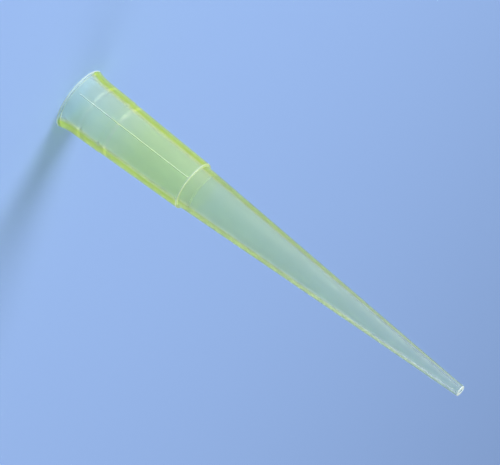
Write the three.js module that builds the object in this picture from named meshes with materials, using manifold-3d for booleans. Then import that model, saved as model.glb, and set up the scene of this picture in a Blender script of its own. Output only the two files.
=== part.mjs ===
// A yellow pipette tip: one thin-walled injection moulding, 50 mm long, that stands on its mouth.
// Millimetres, +Z up. The origin is the centre of the mouth face, and +Z is the tip's axis,
// from the mouth to the fine end.

import * as THREE from 'three';
import { mergeVertices } from 'three/addons/utils/BufferGeometryUtils.js';
import Module from 'manifold-3d';

// Lengths along the axis, measured from the mouth face
const TIP_LENGTH = 50;
const COLLAR_LENGTH = 15.24; // mouth face to the shoulder
const SKIRT_LENGTH = 5.05; // mouth face to the fine step round the collar
const FLARE_LENGTH = 1.7; // how far the lip's flare runs up the collar

// The bore, which takes a pipette's shaft at the mouth and lets the liquid out at the fine end
const SOCKET_RADIUS = 2.5; // at the mouth face
const SOCKET_DRAFT = THREE.MathUtils.degToRad(1.5);
const THROAT_DRAFT = THREE.MathUtils.degToRad(1.87); // from the second sealing ring to the shoulder
const ORIFICE_RADIUS = 0.25; // at the fine end

// Walls, outwards from the bore
const MOUTH_WALL = 0.725;
const LIP_OVERHANG = 0.24; // how far the flare stands out past the collar
const CONE_BASE_WALL = 0.476; // the cone's wall just past the shoulder
const CONE_END_WALL = 0.33; // the cone's wall at the fine end
const SHOULDER_STEP = 0.245; // how far the collar stands out past the cone
const SKIRT_STEP = 0.045; // how far the skirt stands out past the collar

// Two sealing rings in the socket. The bore steps in a little past the second one.
const SEAL_HEIGHT = 0.07;
const SEAL_WIDTH = 0.5;
const FIRST_SEAL = 2.5; // each ring's middle, from the mouth face
const SECOND_SEAL = 5.85;
const SEAT_STEP = 0.05;

// Edges
const LIP_ROUND = 0.07; // the lip's outside
const MOUTH_ROUND = 0.13; // the bore's edge at the mouth
const SHOULDER_ROUND = 0.12;
const END_ROUND = 0.05;

// The mould's two parting lines, which stand out as fine ridges from the flare to the shoulder
const RIDGE_WIDTH = 0.12;
const RIDGE_HEIGHT = 0.035;
const RIDGE_START = 0.5; // the share of the flare's curve that they leave clear at its foot
const RIDGE_ANGLE = THREE.MathUtils.degToRad(-97.5); // the first line's bearing, from +X about +Z

const SIDES = 96; // facets round the axis
const CURVE_STEPS = 5; // facets along each curved stretch of the outline

// Radii of the bore's straight stretches, at a height above the mouth face
const socketRadius = (z) => SOCKET_RADIUS - z * Math.tan(SOCKET_DRAFT);
const seatRadius = socketRadius(SECOND_SEAL) - SEAT_STEP;
const throatRadius = (z) => seatRadius - (z - SECOND_SEAL) * Math.tan(THROAT_DRAFT);

// Radii of the outside's, each a wall's thickness outside the bore
const mouthRadius = SOCKET_RADIUS + MOUTH_WALL;
const coneBaseRadius = throatRadius(COLLAR_LENGTH) + CONE_BASE_WALL;
const coneEndRadius = ORIFICE_RADIUS + CONE_END_WALL;
const collarEndRadius = coneBaseRadius + SHOULDER_STEP;
const collarRadius = (z) => THREE.MathUtils.lerp(mouthRadius, collarEndRadius, z / COLLAR_LENGTH);
const skirtEndRadius = collarRadius(SKIRT_LENGTH) + SKIRT_STEP;
const skirtRadius = (z) => THREE.MathUtils.lerp(mouthRadius, skirtEndRadius, z / SKIRT_LENGTH);

const stepEnd = SKIRT_LENGTH + SKIRT_STEP; // the fine step's face slopes at 45 degrees
const collarTop = COLLAR_LENGTH - SHOULDER_ROUND; // where the shoulder's round begins

// The flare's curve, as (radius, height): its foot on the lip's rounded edge, its bend and its top
const lipRadius = mouthRadius + LIP_OVERHANG;
const flareFoot = new THREE.Vector2(lipRadius - LIP_ROUND / 4, LIP_ROUND);
const flareBend = new THREE.Vector2(skirtRadius(FLARE_LENGTH / 2), FLARE_LENGTH / 2);
const flareTop = new THREE.Vector2(skirtRadius(FLARE_LENGTH), FLARE_LENGTH);

// One half of the tip's section, as (radius, height), which starts and ends on the mouth face
function tipSection() {
  const section = new THREE.Path();

  // Outside: the rounded lip, its flare, the skirt, the collar and the shoulder
  section.moveTo(lipRadius - LIP_ROUND, 0);
  section.quadraticCurveTo(lipRadius, 0, flareFoot.x, flareFoot.y);
  section.quadraticCurveTo(flareBend.x, flareBend.y, flareTop.x, flareTop.y);
  section.lineTo(skirtEndRadius, SKIRT_LENGTH);
  section.lineTo(collarRadius(stepEnd), stepEnd);
  section.lineTo(collarRadius(collarTop), collarTop);
  section.quadraticCurveTo(
    collarEndRadius,
    COLLAR_LENGTH,
    collarEndRadius - SHOULDER_ROUND,
    COLLAR_LENGTH,
  );
  section.lineTo(coneBaseRadius, COLLAR_LENGTH);

  // Outside: the long cone and the fine end
  section.lineTo(coneEndRadius, TIP_LENGTH - END_ROUND);
  section.quadraticCurveTo(coneEndRadius, TIP_LENGTH, coneEndRadius - END_ROUND, TIP_LENGTH);
  section.lineTo(ORIFICE_RADIUS, TIP_LENGTH);

  // Bore: back through the cone and the throat to the seat, then past both rings to the mouth
  section.lineTo(throatRadius(COLLAR_LENGTH), COLLAR_LENGTH);
  section.lineTo(throatRadius(SECOND_SEAL + SEAL_WIDTH / 2), SECOND_SEAL + SEAL_WIDTH / 2);
  for (const seal of [SECOND_SEAL, FIRST_SEAL]) {
    const crest = socketRadius(seal) - 2 * SEAL_HEIGHT; // the curve rises to half its control point
    const below = seal - SEAL_WIDTH / 2;
    section.quadraticCurveTo(crest, seal, socketRadius(below), below);
    if (seal === SECOND_SEAL) {
      const above = FIRST_SEAL + SEAL_WIDTH / 2;
      section.lineTo(socketRadius(above), above);
    }
  }
  section.lineTo(socketRadius(MOUTH_ROUND), MOUTH_ROUND);
  section.quadraticCurveTo(SOCKET_RADIUS, 0, SOCKET_RADIUS + MOUTH_ROUND, 0);
  section.closePath();
  return section.getPoints(CURVE_STEPS);
}

// A parting line's ridge: a thin upright fin, sunk to the middle of the cone's wall thickness,
// whose crest follows the flare's outside and then the collar's
function ridgeGeometry() {
  const crest = (radius) => radius + RIDGE_HEIGHT;
  const root = (radius) => radius - CONE_BASE_WALL / 2;
  const flare = new THREE.QuadraticBezierCurve(flareFoot, flareBend, flareTop);
  const flareShares = [RIDGE_START, (1 + RIDGE_START) / 2, 1];
  const flarePoints = flareShares.map((share) => flare.getPoint(share));
  const fin = new THREE.Shape();
  fin.moveTo(root(flarePoints[0].x), flarePoints[0].y);
  for (const { x, y } of flarePoints) fin.lineTo(crest(x), y);
  fin.lineTo(crest(skirtEndRadius), SKIRT_LENGTH);
  fin.lineTo(crest(collarRadius(stepEnd)), stepEnd);
  fin.lineTo(crest(collarRadius(collarTop)), collarTop);
  fin.lineTo(root(collarRadius(collarTop)), collarTop);
  fin.closePath();
  const geometry = new THREE.ExtrudeGeometry(fin, { depth: RIDGE_WIDTH, bevelEnabled: false });
  geometry.translate(0, 0, -RIDGE_WIDTH / 2);
  return geometry;
}

const wasm = await Module();
wasm.setup();

// A closed three.js geometry as a solid that can be joined
function toSolid(geometry) {
  const bare = geometry.index ? geometry.clone() : geometry;
  bare.deleteAttribute('normal');
  bare.deleteAttribute('uv');
  const merged = mergeVertices(bare, 1e-5);
  const mesh = new wasm.Mesh({
    numProp: 3,
    vertProperties: new Float32Array(merged.attributes.position.array),
    triVerts: new Uint32Array(merged.index.array),
  });
  return new wasm.Manifold(mesh);
}

function toGeometry(solid) {
  const mesh = solid.getMesh();
  const geometry = new THREE.BufferGeometry();
  geometry.setAttribute('position', new THREE.BufferAttribute(mesh.vertProperties, 3));
  geometry.setIndex(new THREE.BufferAttribute(mesh.triVerts, 1));
  geometry.computeVertexNormals();
  return geometry;
}

function tipGeometry() {
  const turned = new THREE.LatheGeometry(tipSection(), SIDES).rotateX(Math.PI / 2);
  let solid = toSolid(turned);
  for (const bearing of [RIDGE_ANGLE, RIDGE_ANGLE + Math.PI]) {
    const ridge = ridgeGeometry().rotateX(Math.PI / 2).rotateZ(bearing);
    solid = solid.add(toSolid(ridge));
  }
  return toGeometry(solid);
}

const yellowPlastic = new THREE.MeshStandardMaterial({
  color: 0xe6ec8c,
  roughness: 0.3,
  metalness: 0,
  transparent: true,
  opacity: 0.7,
});

const pipetteTip = new THREE.Mesh(tipGeometry(), yellowPlastic);
pipetteTip.name = 'pipette_tip';

const tip = new THREE.Group();
tip.add(pipetteTip);

export default tip;
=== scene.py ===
"""A yellow pipette tip that stands on its mouth on a plain pale floor."""

import math

import bpy
from mathutils import Matrix, Vector


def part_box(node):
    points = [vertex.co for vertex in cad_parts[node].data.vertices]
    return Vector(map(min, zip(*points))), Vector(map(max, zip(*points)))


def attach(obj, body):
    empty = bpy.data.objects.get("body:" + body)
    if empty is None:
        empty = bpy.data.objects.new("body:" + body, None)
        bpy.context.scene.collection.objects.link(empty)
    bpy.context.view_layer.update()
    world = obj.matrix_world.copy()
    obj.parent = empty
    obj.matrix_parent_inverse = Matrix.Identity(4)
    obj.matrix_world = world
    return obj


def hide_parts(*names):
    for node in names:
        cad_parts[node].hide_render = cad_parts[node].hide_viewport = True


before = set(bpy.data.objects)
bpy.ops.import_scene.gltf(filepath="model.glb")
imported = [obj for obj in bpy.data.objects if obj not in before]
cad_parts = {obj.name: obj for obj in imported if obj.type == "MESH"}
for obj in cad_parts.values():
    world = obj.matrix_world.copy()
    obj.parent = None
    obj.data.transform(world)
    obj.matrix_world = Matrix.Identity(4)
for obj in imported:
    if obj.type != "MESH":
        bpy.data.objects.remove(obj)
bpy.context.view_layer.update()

NODE = "pipette_tip"
BODY = "root"

# ---------------------------------------------------------------- sizes of the moulding
# Millimetres. Heights are above the mouth face, and radii are from the tip's axis.
MM = 0.001
low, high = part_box(NODE)
TIP_LENGTH = (high.z - low.z) / MM
COLLAR_LENGTH = 15.24
SKIRT_LENGTH = 5.05
FLARE_LENGTH = 1.7

SOCKET_RADIUS = 2.5
SOCKET_DRAFT = math.radians(1.5)
THROAT_DRAFT = math.radians(1.87)
ORIFICE_RADIUS = 0.25

MOUTH_WALL = 0.725
LIP_OVERHANG = 0.24
CONE_BASE_WALL = 0.476
CONE_END_WALL = 0.33
SHOULDER_STEP = 0.245
SKIRT_STEP = 0.045
SKIRT_EASE = 0.24  # how far along the collar the skirt's step falls

SEAL_HEIGHT = 0.04
SEAL_REACH = 0.36  # from a sealing ring's crest to where its eased flanks meet the bore
SEAL_BEND = 0.75  # the share of that reach at which a flank's foot bends
FIRST_SEAL = 2.5
SECOND_SEAL = 5.85
SEAT_STEP = 0.05

LIP_ROUND = 0.07
MOUTH_ROUND = 0.13
SHOULDER_ROUND = 0.12
END_ROUND = 0.05

RIDGE_WIDTH = 0.12
RIDGE_HEIGHT = 0.035
RIDGE_START = 0.85
RIDGE_BEARING = math.radians(-97.5)

# ---------------------------------------------------------------- the plastic
# Colours that light takes on in crossing the wall
MOUTH_DYE = (0.86, 0.97, 0.88, 1)  # at the mouth, where least dye is seen
COLLAR_DYE = (0.87, 1.0, 0.52, 1)  # straight through the collar
CONE_DYE = (0.9, 1.0, 0.74, 1)  # straight through the thinner cone
THROAT_DYE = (0.92, 1.0, 0.58, 1)  # just past the shoulder
END_DYE = (0.93, 1.0, 0.92, 1)  # at the fine end, where the wall is thinnest
TURN_DYE_AND_HIGHLIGHT = (1.0, 1.0, 0.35, 1)  # where the wall turns from face-on to edge-on: a painted highlight line, brighter than the collar's dye, with a deeper yellow
DEEP_DYE = (0.86, 1.0, 0.02, 1)  # along the collar's wall, edge-on
FAINT_DYE = (0.86, 1.0, 0.09, 1)  # along the cone's thinner wall
EDGE_DYE = (0.88, 1.0, 0.4, 1)  # along the ridges and the shoulder
LIP_DYE = (0.93, 0.99, 0.85, 1)  # on the lip's rim and the fine end's face
RING_PAINTED_HIGHLIGHT = (1.0, 1.0, 0.98, 1)  # on the sealing rings' crests: near white, a painted lighter line where the rings gather light
HAZE = (0.8, 0.95, 0.75, 1)  # the milky sheen on every surface
STAND_IN = (0.53, 0.56, 0.46, 1)  # the light that reaches the floor through each surface

# Each finish's clearness, its dyes seen straight through, at the turn (where the collar,
# throat and cone take a painted highlight line) and edge-on, its sheen and its satin
FINISHES = {
    "yellow_plastic": (0.82, COLLAR_DYE, TURN_DYE_AND_HIGHLIGHT, DEEP_DYE, 0.35, 0.12),
    "yellow_plastic_cone": (0.91, CONE_DYE, TURN_DYE_AND_HIGHLIGHT, FAINT_DYE, 0.15, 0.2),
    "yellow_plastic_throat": (0.85, THROAT_DYE, TURN_DYE_AND_HIGHLIGHT, FAINT_DYE, 0.25, 0.2),
    "yellow_plastic_socket": (0.98, CONE_DYE, CONE_DYE, CONE_DYE, 0.3, 0.33),
    "yellow_plastic_bore": (0.98, CONE_DYE, CONE_DYE, CONE_DYE, 0.25, 0.33),
    "yellow_plastic_rings": (0.8, RING_PAINTED_HIGHLIGHT, RING_PAINTED_HIGHLIGHT, RING_PAINTED_HIGHLIGHT, 0.3, 0.5),
    "yellow_plastic_edges": (0.6, CONE_DYE, CONE_DYE, EDGE_DYE, 0.4, 0.12),
    "yellow_plastic_lip": (0.6, LIP_DYE, LIP_DYE, LIP_DYE, 0.2, 0.12),
    "yellow_plastic_end": (0.35, LIP_DYE, None, None, 0.4, 0.2),  # too milky to deepen edge-on
}

LIP_BAND = 0.2  # mm, height of the lip's rim
THROAT_END = 16.45  # mm, where the milkier plastic past the shoulder ends, with a faint ring
THROAT_BAND = 0.2  # mm, width of that ring
END_BAND = 0.12  # mm, length of the cone's last edge
RING_BAND = 0.34  # mm, width of each sealing ring's crest

PLASTIC_IOR = 1.49
HAZE_SPREAD = 0.4
FLOW_DEPTH = 0.03

# How far turned from face-on a wall takes its next colour, first the painted highlight line
# where a finish has one and then the edge-on dye, from 0, face-on, to 1, edge-on
TURN_REACH = (0.32, 0.4)
EDGE_REACH = (0.44, 0.47)

# Metres above the floor between which the dye fades
MOUTH_FADE = (0.0005, 0.009)  # from the mouth's pale dye to the finish's own
CONE_FADE = (0.02, 0.055)  # to the fine end's, seen straight through
EDGE_FADE = (0.025, 0.08)  # to the fine end's, seen edge-on

# The moulded surface: noise sizes are cells to the metre
CLOUD_SCALE, CLOUD_DETAIL = 260, 3
CLOUD_RANGE, CLOUD_SHADES = (0.3, 0.7), (0.95, 1.0)
SMUDGE_SCALE, SMUDGE_DETAIL = 700, 5
SMUDGE_RANGE, SMUDGE_SATINS = (0.35, 0.7), (0.9, 1.25)
LINE_SCALE, LINE_DETAIL = 2200, 2
LINE_STRETCH = (1, 1, 0.06)  # the flow lines run along the axis
LINE_HEIGHT = 0.00002  # m

# ---------------------------------------------------------------- mesh density
ROUND_STEPS = 8  # faces along a rounded edge
RIDGE_STEPS = 6  # faces across a parting ridge
HALF_STEPS = 110  # faces round the wall from one ridge to the other
EDGE_INSET = 0.03  # mm from a straight stretch's ends to the loops that hold its shading flat
WELD = 1e-7  # m
SHARPEST_SMOOTHED = math.radians(50)


# ---------------------------------------------------------------- small helpers
def deselect_all():
    if bpy.context.mode != "OBJECT":
        bpy.ops.object.mode_set(mode="OBJECT")
    bpy.ops.object.select_all(action="DESELECT")


def socket_radius(z):
    return SOCKET_RADIUS - z * math.tan(SOCKET_DRAFT)


def throat_radius(z):
    seat = socket_radius(SECOND_SEAL) - SEAT_STEP
    return seat - (z - SECOND_SEAL) * math.tan(THROAT_DRAFT)


MOUTH_RADIUS = SOCKET_RADIUS + MOUTH_WALL
CONE_BASE_RADIUS = throat_radius(COLLAR_LENGTH) + CONE_BASE_WALL
CONE_END_RADIUS = ORIFICE_RADIUS + CONE_END_WALL
COLLAR_END_RADIUS = CONE_BASE_RADIUS + SHOULDER_STEP


def collar_radius(z):
    return MOUTH_RADIUS + (COLLAR_END_RADIUS - MOUTH_RADIUS) * z / COLLAR_LENGTH


SKIRT_END_RADIUS = collar_radius(SKIRT_LENGTH) + SKIRT_STEP


def skirt_radius(z):
    return MOUTH_RADIUS + (SKIRT_END_RADIUS - MOUTH_RADIUS) * z / SKIRT_LENGTH


def bore_radius(z):
    """The bore's radius, leaving out its sealing rings and rounded edge."""
    if z < SECOND_SEAL:
        return socket_radius(z)
    if z < COLLAR_LENGTH:
        return throat_radius(z)
    along = (z - COLLAR_LENGTH) / (TIP_LENGTH - COLLAR_LENGTH)
    return throat_radius(COLLAR_LENGTH) * (1 - along) + ORIFICE_RADIUS * along


def cone_radius(z):
    along = (z - COLLAR_LENGTH) / (TIP_LENGTH - END_ROUND - COLLAR_LENGTH)
    return CONE_BASE_RADIUS * (1 - along) + CONE_END_RADIUS * along


# ---------------------------------------------------------------- the outline
class Outline:
    """A closed section of the wall, drawn as (radius, height) points."""

    def __init__(self, start):
        self.points = [Vector(start)]

    def straight(self, end):
        start, end = self.points[-1], Vector(end)
        length = (end - start).length
        if length > 4 * EDGE_INSET:
            inset = (end - start).normalized() * EDGE_INSET
            self.points += [start + inset, end - inset]
        self.points.append(end)

    def rounded(self, corner, end, steps=ROUND_STEPS):
        start, corner, end = self.points[-1], Vector(corner), Vector(end)
        for step in range(1, steps + 1):
            t = step / steps
            self.points.append(start * (1 - t) ** 2 + corner * 2 * t * (1 - t) + end * t**2)


def seal(wall, middle):
    """A sealing ring with eased flanks, drawn on the bore from its far side towards the mouth."""
    crest = socket_radius(middle) - SEAL_HEIGHT
    for side in (1, -1):
        foot = bore_radius(middle + side * SEAL_REACH)
        bend = (foot, middle + side * SEAL_BEND * SEAL_REACH)
        flank = ((foot + crest) / 2, middle + side * SEAL_REACH / 2)
        if side == 1:
            wall.straight((foot, middle + SEAL_REACH))
            wall.rounded(bend, flank)
        else:
            wall.rounded((crest - SEAL_HEIGHT / 2, middle), flank)
            wall.rounded(bend, (foot, middle - SEAL_REACH))


def tip_outline():
    lip = MOUTH_RADIUS + LIP_OVERHANG
    flare_middle = FLARE_LENGTH / 2
    step_end = SKIRT_LENGTH + SKIRT_EASE
    collar_top = COLLAR_LENGTH - SHOULDER_ROUND

    wall = Outline((lip - LIP_ROUND, 0))
    wall.rounded((lip, 0), (lip - LIP_ROUND / 4, LIP_ROUND))
    wall.rounded(
        (skirt_radius(flare_middle), flare_middle),
        (skirt_radius(FLARE_LENGTH), FLARE_LENGTH),
        steps=2 * ROUND_STEPS,
    )
    wall.straight((SKIRT_END_RADIUS, SKIRT_LENGTH))
    wall.straight((collar_radius(step_end), step_end))
    wall.straight((collar_radius(collar_top), collar_top))
    wall.rounded(
        (COLLAR_END_RADIUS, COLLAR_LENGTH),
        (COLLAR_END_RADIUS - SHOULDER_ROUND, COLLAR_LENGTH),
    )
    wall.straight((CONE_BASE_RADIUS, COLLAR_LENGTH))
    wall.straight((cone_radius(THROAT_END), THROAT_END))
    wall.straight((CONE_END_RADIUS, TIP_LENGTH - END_ROUND))
    wall.rounded((CONE_END_RADIUS, TIP_LENGTH), (CONE_END_RADIUS - END_ROUND, TIP_LENGTH))
    wall.straight((ORIFICE_RADIUS, TIP_LENGTH))

    for z in (THROAT_END + THROAT_BAND / 2, THROAT_END - THROAT_BAND / 2, COLLAR_LENGTH):
        wall.straight((bore_radius(z), z))
    seal(wall, SECOND_SEAL)
    seal(wall, FIRST_SEAL)
    wall.straight((socket_radius(MOUTH_ROUND), MOUTH_ROUND))
    wall.rounded((SOCKET_RADIUS, 0), (SOCKET_RADIUS + MOUTH_ROUND, 0))
    wall.straight(wall.points[0])
    return wall.points


# ---------------------------------------------------------------- the moulding
def draw_wire(name, points, bearing):
    """A new object: one chain of edges through (radius, height) points, at a bearing."""
    outward = Vector((math.cos(bearing), math.sin(bearing), 0))
    placed = [(outward * radius + Vector((0, 0, height))) * MM for radius, height in points]
    deselect_all()
    bpy.ops.mesh.primitive_plane_add(size=MM, location=(0, 0, 0))
    wire = bpy.context.object
    wire.name = wire.data.name = name
    bpy.ops.object.mode_set(mode="EDIT")
    bpy.ops.mesh.select_mode(type="VERT")
    bpy.ops.mesh.select_all(action="SELECT")
    bpy.ops.mesh.merge(type="CENTER")
    bpy.ops.transform.translate(value=placed[0])
    for before, after in zip(placed, placed[1:]):
        bpy.ops.mesh.extrude_region_move(TRANSFORM_OT_translate={"value": after - before})
    bpy.ops.mesh.select_all(action="SELECT")
    bpy.ops.mesh.remove_doubles(threshold=WELD)
    return wire


def turn_wall(points):
    """The outline turned once round the axis, in fine steps across each parting ridge."""
    ridge_angle = RIDGE_WIDTH / MOUTH_RADIUS
    wall = draw_wire("yellow_pipette_tip", points, RIDGE_BEARING - ridge_angle / 2)
    bpy.ops.mesh.select_all(action="SELECT")
    for angle, steps in [(ridge_angle, RIDGE_STEPS), (math.pi - ridge_angle, HALF_STEPS)] * 2:
        bpy.ops.mesh.spin(steps=steps, angle=angle, center=(0, 0, 0), axis=(0, 0, -1))
    bpy.ops.mesh.select_all(action="SELECT")
    bpy.ops.mesh.remove_doubles(threshold=WELD)
    bpy.ops.mesh.normals_make_consistent(inside=False)
    bpy.ops.object.mode_set(mode="OBJECT")
    return wall


def select_points(piece, wanted):
    """Selects, in edit mode, the points of piece that wanted(place in mm) picks."""
    deselect_all()
    bpy.context.view_layer.objects.active = piece
    piece.select_set(True)
    bpy.ops.object.mode_set(mode="EDIT")
    bpy.ops.mesh.select_mode(type="VERT")
    bpy.ops.mesh.select_all(action="DESELECT")
    bpy.ops.object.mode_set(mode="OBJECT")
    for vertex in piece.data.vertices:
        vertex.select = wanted(vertex.co / MM)
    bpy.ops.object.mode_set(mode="EDIT")


def raise_ridges(wall):
    """Swells the collar's outside into a low rounded ridge along each parting line."""
    ridge_angle = RIDGE_WIDTH / MOUTH_RADIUS
    column_angle = ridge_angle / RIDGE_STEPS
    ridge_end = COLLAR_LENGTH - SHOULDER_ROUND
    for column in range(1, RIDGE_STEPS):
        across = 2 * column / RIDGE_STEPS - 1
        bearing = RIDGE_BEARING + across * ridge_angle / 2

        def on_column(place):
            aside = (math.atan2(place.y, place.x) - bearing + math.pi / 2) % math.pi - math.pi / 2
            outside = math.hypot(place.x, place.y) > collar_radius(place.z) - SKIRT_STEP
            return outside and RIDGE_START < place.z < ridge_end and abs(aside) < column_angle / 2

        select_points(wall, on_column)
        bpy.ops.transform.shrink_fatten(value=RIDGE_HEIGHT * MM * (1 - across**2))
    deselect_all()


def finish_at(place):
    """The finish of the wall's surface at a place in mm."""
    x, y, z = place
    if z > TIP_LENGTH - END_BAND:
        return "yellow_plastic_end"
    inside = math.hypot(x, y) < bore_radius(z) + CONE_END_WALL / 2
    if inside:
        on_ring = min(abs(z - FIRST_SEAL), abs(z - SECOND_SEAL)) < RING_BAND / 2
        if on_ring:
            return "yellow_plastic_rings"
        if abs(z - THROAT_END) < THROAT_BAND / 2:
            return "yellow_plastic_throat"
        return "yellow_plastic_socket" if z < COLLAR_LENGTH else "yellow_plastic_bore"
    aside = (math.atan2(y, x) - RIDGE_BEARING + math.pi / 2) % math.pi - math.pi / 2
    on_ridge = RIDGE_START < z < COLLAR_LENGTH and abs(aside) < RIDGE_WIDTH / MOUTH_RADIUS / 2
    on_shoulder = COLLAR_LENGTH - SHOULDER_ROUND < z < COLLAR_LENGTH + EDGE_INSET
    if z < LIP_BAND:
        return "yellow_plastic_lip"
    if on_ridge or on_shoulder:
        return "yellow_plastic_edges"
    if z < COLLAR_LENGTH:
        return "yellow_plastic"
    return "yellow_plastic_throat" if z < THROAT_END else "yellow_plastic_cone"


def share_out_finishes(wall):
    names = list(FINISHES)
    for name, finish in FINISHES.items():
        wall.data.materials.append(yellow_plastic(name, *finish))
    for face in wall.data.polygons:
        face.material_index = names.index(finish_at(face.center / MM))


def smooth(piece, sharpest):
    deselect_all()
    bpy.context.view_layer.objects.active = piece
    piece.select_set(True)
    bpy.ops.object.shade_smooth_by_angle(angle=sharpest)


def pipette_tip():
    tip = turn_wall(tip_outline())
    raise_ridges(tip)
    share_out_finishes(tip)
    smooth(tip, SHARPEST_SMOOTHED)
    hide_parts(NODE)
    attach(tip, BODY)


# ---------------------------------------------------------------- materials
def new_material(name):
    material = bpy.data.materials.new(name)
    material.use_nodes = True
    tree = material.node_tree
    shader = tree.nodes["Principled BSDF"]
    return material, tree, shader, tree.nodes["Material Output"]


def noise(tree, place, scale, detail):
    texture = tree.nodes.new("ShaderNodeTexNoise")
    texture.inputs["Scale"].default_value = scale
    texture.inputs["Detail"].default_value = detail
    tree.links.new(place, texture.inputs["Vector"])
    return texture.outputs["Fac"]


def rising(tree, value, reach, result=(0, 1)):
    """Goes evenly from the first result to the second as value goes across its reach."""
    span = tree.nodes.new("ShaderNodeMapRange")
    span.inputs["From Min"].default_value, span.inputs["From Max"].default_value = reach
    span.inputs["To Min"].default_value, span.inputs["To Max"].default_value = result
    tree.links.new(value, span.inputs["Value"])
    return span.outputs["Result"]


def moulded_skin():
    """A node group: the faint flow lines, clouding and handling haze that a moulded surface has."""
    name = "moulded_skin"
    if name in bpy.data.node_groups:
        return bpy.data.node_groups[name]
    group = bpy.data.node_groups.new(name, "ShaderNodeTree")
    group.interface.new_socket("Colour", in_out="INPUT", socket_type="NodeSocketColor")
    group.interface.new_socket("Satin", in_out="INPUT", socket_type="NodeSocketFloat")
    group.interface.new_socket("Flow Depth", in_out="INPUT", socket_type="NodeSocketFloat")
    group.interface.new_socket("Colour", in_out="OUTPUT", socket_type="NodeSocketColor")
    group.interface.new_socket("Roughness", in_out="OUTPUT", socket_type="NodeSocketFloat")
    group.interface.new_socket("Normal", in_out="OUTPUT", socket_type="NodeSocketVector")
    given = group.nodes.new("NodeGroupInput")
    out = group.nodes.new("NodeGroupOutput")
    place = group.nodes.new("ShaderNodeTexCoord")

    clouds = noise(group, place.outputs["Object"], CLOUD_SCALE, CLOUD_DETAIL)
    tinted = group.nodes.new("ShaderNodeVectorMath")
    tinted.operation = "SCALE"
    group.links.new(given.outputs["Colour"], tinted.inputs[0])
    group.links.new(rising(group, clouds, CLOUD_RANGE, CLOUD_SHADES), tinted.inputs["Scale"])
    group.links.new(tinted.outputs["Vector"], out.inputs["Colour"])

    smudges = noise(group, place.outputs["Object"], SMUDGE_SCALE, SMUDGE_DETAIL)
    rough = group.nodes.new("ShaderNodeMath")
    rough.operation = "MULTIPLY"
    group.links.new(rising(group, smudges, SMUDGE_RANGE, SMUDGE_SATINS), rough.inputs[0])
    group.links.new(given.outputs["Satin"], rough.inputs[1])
    group.links.new(rough.outputs["Value"], out.inputs["Roughness"])

    along = group.nodes.new("ShaderNodeMapping")
    along.inputs["Scale"].default_value = LINE_STRETCH
    group.links.new(place.outputs["Object"], along.inputs["Vector"])
    bump = group.nodes.new("ShaderNodeBump")
    bump.inputs["Distance"].default_value = LINE_HEIGHT
    group.links.new(given.outputs["Flow Depth"], bump.inputs["Strength"])
    lines = noise(group, along.outputs["Vector"], LINE_SCALE, LINE_DETAIL)
    group.links.new(lines, bump.inputs["Height"])
    group.links.new(bump.outputs["Normal"], out.inputs["Normal"])
    return group


def mixed(tree, amount, before, after):
    """The colour that amount gives between before and after, each a socket or a plain colour."""
    mix = tree.nodes.new("ShaderNodeMix")
    mix.data_type = "RGBA"
    tree.links.new(amount, mix.inputs["Factor"])
    for socket, colour in ((mix.inputs["A"], before), (mix.inputs["B"], after)):
        if isinstance(colour, tuple):
            socket.default_value = colour
        else:
            tree.links.new(colour, socket)
    return mix.outputs["Result"]


def yellow_plastic(name, clearness, face_on, at_turn, edge_on, sheen, satin):
    """Dyed natural polypropylene, clear and faintly milky. Glass-clear finishes take a deeper
    dye where they are seen edge-on, as light that goes along the wall would."""
    material, tree, shader, output = new_material(name)
    shader.inputs["IOR"].default_value = PLASTIC_IOR
    shader.inputs["Transmission Weight"].default_value = clearness
    shader.inputs["Sheen Weight"].default_value = sheen
    shader.inputs["Sheen Roughness"].default_value = HAZE_SPREAD
    shader.inputs["Sheen Tint"].default_value = HAZE

    place = tree.nodes.new("ShaderNodeTexCoord")
    height = tree.nodes.new("ShaderNodeSeparateXYZ")
    tree.links.new(place.outputs["Object"], height.inputs["Vector"])
    height = height.outputs["Z"]
    past_mouth = mixed(tree, rising(tree, height, MOUTH_FADE), MOUTH_DYE, face_on)
    dye = mixed(tree, rising(tree, height, CONE_FADE), past_mouth, END_DYE)
    if edge_on:
        facing = tree.nodes.new("ShaderNodeLayerWeight").outputs["Facing"]
        # Painted highlight: the colour at the turn brightens a thin line where the wall turns
        # edge-on
        turned = mixed(tree, rising(tree, facing, TURN_REACH), dye, at_turn)
        along = mixed(tree, rising(tree, height, EDGE_FADE), edge_on, END_DYE)
        dye = mixed(tree, rising(tree, facing, EDGE_REACH), turned, along)
    skin = tree.nodes.new("ShaderNodeGroup")
    skin.node_tree = moulded_skin()
    skin.inputs["Satin"].default_value = satin
    skin.inputs["Flow Depth"].default_value = FLOW_DEPTH
    tree.links.new(dye, skin.inputs["Colour"])
    tree.links.new(skin.outputs["Colour"], shader.inputs["Base Color"])
    tree.links.new(skin.outputs["Roughness"], shader.inputs["Roughness"])
    tree.links.new(skin.outputs["Normal"], shader.inputs["Normal"])

    lamps_pass = tree.nodes.new("ShaderNodeMixShader")
    stand_in = tree.nodes.new("ShaderNodeBsdfTransparent")
    stand_in.inputs["Color"].default_value = STAND_IN
    path = tree.nodes.new("ShaderNodeLightPath")
    tree.links.new(path.outputs["Is Shadow Ray"], lamps_pass.inputs["Fac"])
    tree.links.new(shader.outputs["BSDF"], lamps_pass.inputs[1])
    tree.links.new(stand_in.outputs["BSDF"], lamps_pass.inputs[2])
    tree.links.new(lamps_pass.outputs["Shader"], output.inputs["Surface"])
    return material


def pale_floor_finish():
    material, _, shader, _ = new_material("pale_blue_floor")
    shader.inputs["Base Color"].default_value = (*FLOOR_COLOUR, 1)
    shader.inputs["Roughness"].default_value = FLOOR_ROUGHNESS
    shader.inputs["Specular IOR Level"].default_value = FLOOR_SHINE
    return material


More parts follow.
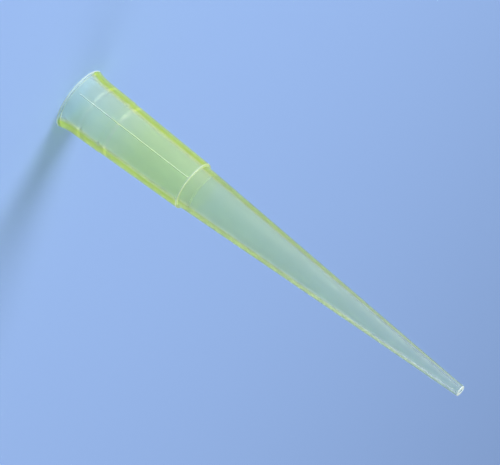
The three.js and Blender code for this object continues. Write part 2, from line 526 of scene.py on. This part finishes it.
# ---------------------------------------------------------------- the stage
FLOOR_COLOUR = (0.31, 0.47, 0.82)
FLOOR_SIZE = 9.0
FLOOR_ROUGHNESS = 0.7
FLOOR_SHINE = 0.15
WORLD_COLOUR = (0.93, 0.97, 1.0, 1)
WORLD_LIGHT = 0.45
SKY_SEEN = 0.65
LAMP_SPREAD = math.radians(60)

LENS = 500.0
CAMERA_RISE = 17.0
CAMERA_ROLL = 127.5
CAMERA_AIM = Vector((0.215, 0, 22.85)) * MM
CAMERA_DISTANCE = 0.6914


def floor():
    deselect_all()
    bpy.ops.mesh.primitive_plane_add(size=FLOOR_SIZE, location=(0, 0, low.z))
    ground = bpy.context.object
    ground.name = "pale_floor"
    ground.data.materials.append(pale_floor_finish())


def sky():
    """White light all round. Seen direct, mirrored or through plastic, it is the floor's colour."""
    world = bpy.data.worlds.new("soft_studio")
    bpy.context.scene.world = world
    world.use_nodes = True
    tree = world.node_tree
    light = tree.nodes["Background"]
    light.inputs["Color"].default_value = WORLD_COLOUR
    light.inputs["Strength"].default_value = WORLD_LIGHT
    seen = tree.nodes.new("ShaderNodeBackground")
    seen.inputs["Color"].default_value = (*FLOOR_COLOUR, 1)
    seen.inputs["Strength"].default_value = SKY_SEEN
    path = tree.nodes.new("ShaderNodeLightPath")
    mix = tree.nodes.new("ShaderNodeMixShader")
    either = path.outputs["Is Camera Ray"]
    for ray in ("Is Transmission Ray", "Is Glossy Ray"):
        most = tree.nodes.new("ShaderNodeMath")
        most.operation = "MAXIMUM"
        tree.links.new(either, most.inputs[0])
        tree.links.new(path.outputs[ray], most.inputs[1])
        either = most.outputs["Value"]
    tree.links.new(either, mix.inputs["Fac"])
    tree.links.new(light.outputs["Background"], mix.inputs[1])
    tree.links.new(seen.outputs["Background"], mix.inputs[2])
    tree.links.new(mix.outputs["Shader"], tree.nodes["World Output"].inputs["Surface"])


def soft_box(name, azimuth, elevation, distance, size, power):
    """A soft box with a grid, aimed at the tip. Azimuth 0 is the -Y side and 90 the +X side."""
    turn, rise = math.radians(azimuth), math.radians(elevation)
    away = Vector(
        (math.sin(turn) * math.cos(rise), -math.cos(turn) * math.cos(rise), math.sin(rise))
    )
    data = bpy.data.lights.new(name, type="AREA")
    data.shape = "RECTANGLE"
    data.size, data.size_y = size
    data.spread = LAMP_SPREAD
    data.energy = power
    lamp = bpy.data.objects.new(name, data)
    bpy.context.scene.collection.objects.link(lamp)
    lamp.location = Vector((0, 0, TIP_LENGTH * MM / 2)) + away * distance
    lamp.rotation_euler = away.to_track_quat("Z", "Y").to_euler()


def camera():
    data = bpy.data.cameras.new("camera")
    data.lens = LENS
    eye = bpy.data.objects.new("camera", data)
    bpy.context.scene.collection.objects.link(eye)
    upright = Matrix.Rotation(math.radians(90 - CAMERA_RISE), 4, "X")
    turned = upright @ Matrix.Rotation(math.radians(CAMERA_ROLL), 4, "Z")
    back = turned.to_3x3() @ Vector((0, 0, 1))
    eye.matrix_world = Matrix.Translation(CAMERA_AIM + back * CAMERA_DISTANCE) @ turned
    bpy.context.scene.camera = eye


bpy.context.scene.view_settings.view_transform = "Standard"
camera()
pipette_tip()
floor()
sky()
soft_box("key_box", -60, 26, 0.5, (0.3, 0.3), 0.5)
soft_box("right_box", 135, 15, 0.5, (0.5, 0.3), 0.19)
